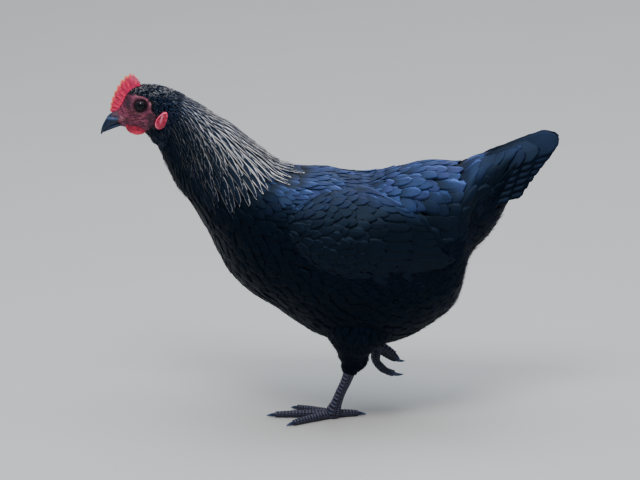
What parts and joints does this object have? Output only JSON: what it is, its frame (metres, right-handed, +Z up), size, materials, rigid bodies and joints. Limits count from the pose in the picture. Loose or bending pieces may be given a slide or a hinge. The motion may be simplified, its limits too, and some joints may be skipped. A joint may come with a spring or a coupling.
{
  "type": "norfolk grey hen",
  "caption": "Life-size still model of a black hen with a silver-laced neck, single comb and short raised tail, walking on its left foot with the right foot lifted.",
  "frame": {"origin": "on the floor, under the middle of the hen's box", "axes": "-X the way the hen faces, -Y its left side, +Z up"},
  "size_m": [0.4794, 0.1728, 0.3736],
  "materials": {
    "black_plumage": "glossy black feathers with a blue and violet sheen",
    "hackle_plumage": "pointed black hackle feathers with silver white edges",
    "face_skin": "bare red wrinkled skin with fine dark feathers on the crown and ear",
    "comb_skin": "bright red granular skin of the comb, wattles and earlobes",
    "beak_horn": "smooth dark slate horn, paler along the cutting edge",
    "eye_gloss": "wet dark brown eye with a black pupil",
    "leg_scale": "dark slate scales, purple grey where they catch the light",
    "claw_horn": "dark horn, paler at the tip"
  },
  "bodies": {
    "root": {"head": "face_skin", "beak_upper": "beak_horn", "beak_lower": "beak_horn", "comb": "comb_skin", "wattle_left": "comb_skin", "wattle_right": "comb_skin", "earlobe_left": "comb_skin", "earlobe_right": "comb_skin", "eye_left": "eye_gloss", "eye_right": "eye_gloss", "neck": "hackle_plumage", "torso": "black_plumage", "wing_left": "black_plumage", "wing_right": "black_plumage", "tail": "black_plumage", "thigh_left": "black_plumage", "thigh_right": "black_plumage", "shank_left": "leg_scale", "shank_right": "leg_scale", "foot_left": "leg_scale", "foot_right": "leg_scale", "claw_left_inner": "claw_horn", "claw_left_middle": "claw_horn", "claw_left_outer": "claw_horn", "claw_left_hind": "claw_horn", "claw_right_inner": "claw_horn", "claw_right_middle": "claw_horn", "claw_right_outer": "claw_horn", "claw_right_hind": "claw_horn"}
  },
  "joints": []
}
